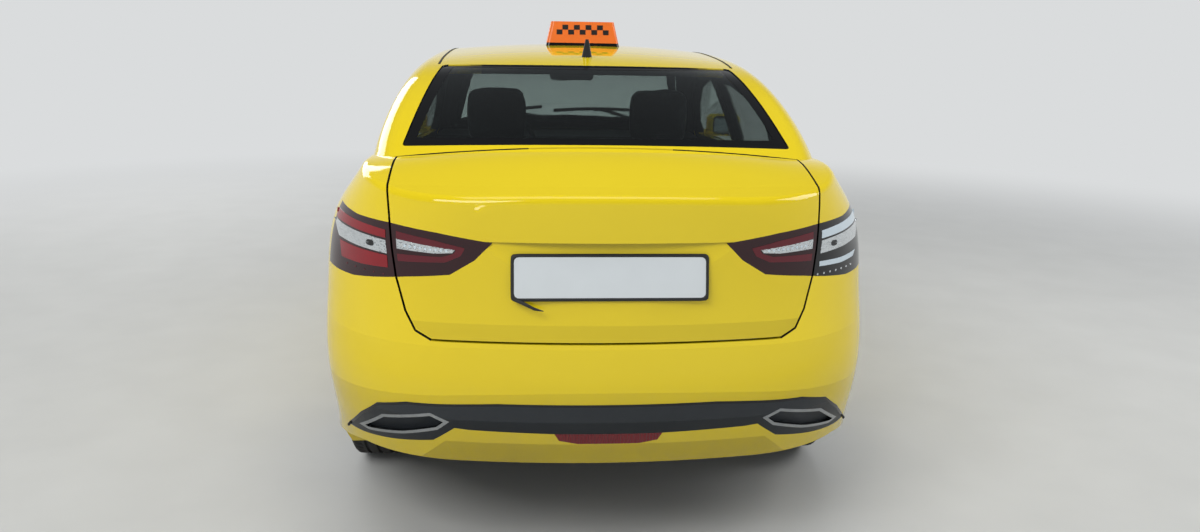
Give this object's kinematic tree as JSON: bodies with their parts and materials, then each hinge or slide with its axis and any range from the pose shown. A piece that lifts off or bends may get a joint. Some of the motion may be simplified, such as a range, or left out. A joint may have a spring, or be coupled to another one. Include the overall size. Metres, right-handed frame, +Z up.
{
  "type": "taxi cab",
  "caption": "Yellow compact four-door saloon taxi with opening doors, bonnet and boot lid, steered front wheels, a lit roof sign and hollow cabin.",
  "frame": {"origin": "on the ground, half way along the car and on its centre line", "axes": "+Z up, +Y towards the nose, +X towards the car's right-hand side"},
  "size_m": [2.008, 4.4329, 1.594],
  "materials": {
    "taxi_paint": "gloss",
    "tinted_glass": "polished",
    "clear_glass": "polished",
    "lamp_red": "gloss",
    "lamp_smoked": "gloss",
    "lamp_clear": "gloss",
    "dark_plastic": "grained",
    "black_plastic": "grained",
    "gloss_black": "gloss",
    "sign_orange": "gloss",
    "plate_white": "satin",
    "seat_fabric": "woven",
    "cabin_plastic": "grained",
    "wheel_paint": "satin",
    "tyre_rubber": "matte",
    "chassis_steel": "satin",
    "cast_block": "as cast",
    "bare_steel": "dull",
    "radiator_aluminium": "dull",
    "tank_plastic": "moulded",
    "body_underside": "dull",
    "bright_trim": "polished"
  },
  "bodies": {
    "root": {"antenna": "black_plastic", "body_side_left": "taxi_paint", "body_side_right": "taxi_paint", "bumper_insert": "dark_plastic", "cowl_panel": "black_plastic", "dashboard": "cabin_plastic", "driveshafts": "bare_steel", "engine": "cast_block", "exhaust": "bare_steel", "exhaust_trims": "bright_trim", "firewall": "body_underside", "floor_pan": "body_underside", "front_bumper": "taxi_paint", "front_fenders": "taxi_paint", "front_seats": "seat_fabric", "front_subframe": "chassis_steel", "fuel_tank": "tank_plastic", "grille": "black_plastic", "headlamps": "lamp_clear", "interior_mirror": "gloss_black", "parcel_shelf": "cabin_plastic", "radiator": "radiator_aluminium", "rear_axle": "chassis_steel", "rear_bumper": "taxi_paint", "rear_fog_lamp": "lamp_red", "rear_seat": "seat_fabric", "rear_window": "tinted_glass", "roof_panel": "taxi_paint", "roof_sign": "sign_orange", "sign_base": "gloss_black", "steering_wheel": "cabin_plastic", "tail_lamp_left": "lamp_red", "tail_lamp_right": "lamp_smoked", "wheel_arch_liners": "black_plastic", "windscreen": "clear_glass", "wipers": "black_plastic"},
    "bonnet": {"bonnet": "taxi_paint"},
    "boot_lid": {"boot_lid": "taxi_paint", "boot_lamps": "lamp_red", "rear_plate": "plate_white"},
    "door_front_left": {"door_front_left": "taxi_paint", "glass_front_left": "clear_glass", "mirror_left": "taxi_paint"},
    "door_front_right": {"door_front_right": "taxi_paint", "glass_front_right": "clear_glass", "mirror_right": "taxi_paint"},
    "door_rear_left": {"door_rear_left": "taxi_paint", "glass_rear_left": "tinted_glass"},
    "door_rear_right": {"door_rear_right": "taxi_paint", "glass_rear_right": "tinted_glass"},
    "knuckle_left": {"knuckle_left": "cast_block"},
    "knuckle_right": {"knuckle_right": "cast_block"},
    "wheel_front_left": {"tyre_front_left": "tyre_rubber", "rim_front_left": "wheel_paint"},
    "wheel_front_right": {"tyre_front_right": "tyre_rubber", "rim_front_right": "wheel_paint"},
    "wheel_rear_left": {"tyre_rear_left": "tyre_rubber", "rim_rear_left": "wheel_paint"},
    "wheel_rear_right": {"tyre_rear_right": "tyre_rubber", "rim_rear_right": "wheel_paint"}
  },
  "joints": [
    {"name": "door_front_left_hinge", "type": "hinge", "parent": "root", "child": "door_front_left", "pos_m": [-0.886, 0.83, 0.6], "axis": [0, 0, -1], "range_deg": [0, 65]},
    {"name": "door_rear_left_hinge", "type": "hinge", "parent": "root", "child": "door_rear_left", "pos_m": [-0.886, -0.2185, 0.6], "axis": [0, 0, -1], "range_deg": [0, 68]},
    {"name": "door_front_right_hinge", "type": "hinge", "parent": "root", "child": "door_front_right", "pos_m": [0.886, 0.83, 0.6], "axis": [0, 0, 1], "range_deg": [0, 65]},
    {"name": "door_rear_right_hinge", "type": "hinge", "parent": "root", "child": "door_rear_right", "pos_m": [0.886, -0.2185, 0.6], "axis": [0, 0, 1], "range_deg": [0, 68]},
    {"name": "bonnet_hinge", "type": "hinge", "parent": "root", "child": "bonnet", "pos_m": [0, 1.19, 1.017], "axis": [1, 0, 0], "range_deg": [0, 50]},
    {"name": "boot_lid_hinge", "type": "hinge", "parent": "root", "child": "boot_lid", "pos_m": [0, -1.735, 1.186], "axis": [-1, 0, 0], "range_deg": [0, 75]},
    {"name": "steer_left", "type": "hinge", "parent": "root", "child": "knuckle_left", "pos_m": [-0.69, 1.355, 0.311], "axis": [0, 0, 1], "range_deg": [-33, 33]},
    {"name": "steer_right", "type": "hinge", "parent": "root", "child": "knuckle_right", "pos_m": [0.69, 1.355, 0.311], "axis": [0, 0, 1], "range_deg": [-33, 33]},
    {"name": "wheel_front_left_spin", "type": "hinge", "parent": "knuckle_left", "child": "wheel_front_left", "pos_m": [-0.755, 1.355, 0.311], "axis": [1, 0, 0], "continuous": true},
    {"name": "wheel_rear_left_spin", "type": "hinge", "parent": "root", "child": "wheel_rear_left", "pos_m": [-0.755, -1.28, 0.311], "axis": [1, 0, 0], "continuous": true},
    {"name": "wheel_front_right_spin", "type": "hinge", "parent": "knuckle_right", "child": "wheel_front_right", "pos_m": [0.755, 1.355, 0.311], "axis": [1, 0, 0], "continuous": true},
    {"name": "wheel_rear_right_spin", "type": "hinge", "parent": "root", "child": "wheel_rear_right", "pos_m": [0.755, -1.28, 0.311], "axis": [1, 0, 0], "continuous": true}
  ],
  "couplings": [
    {"joint": "steer_right", "follows": "steer_left", "ratio": 1}
  ]
}
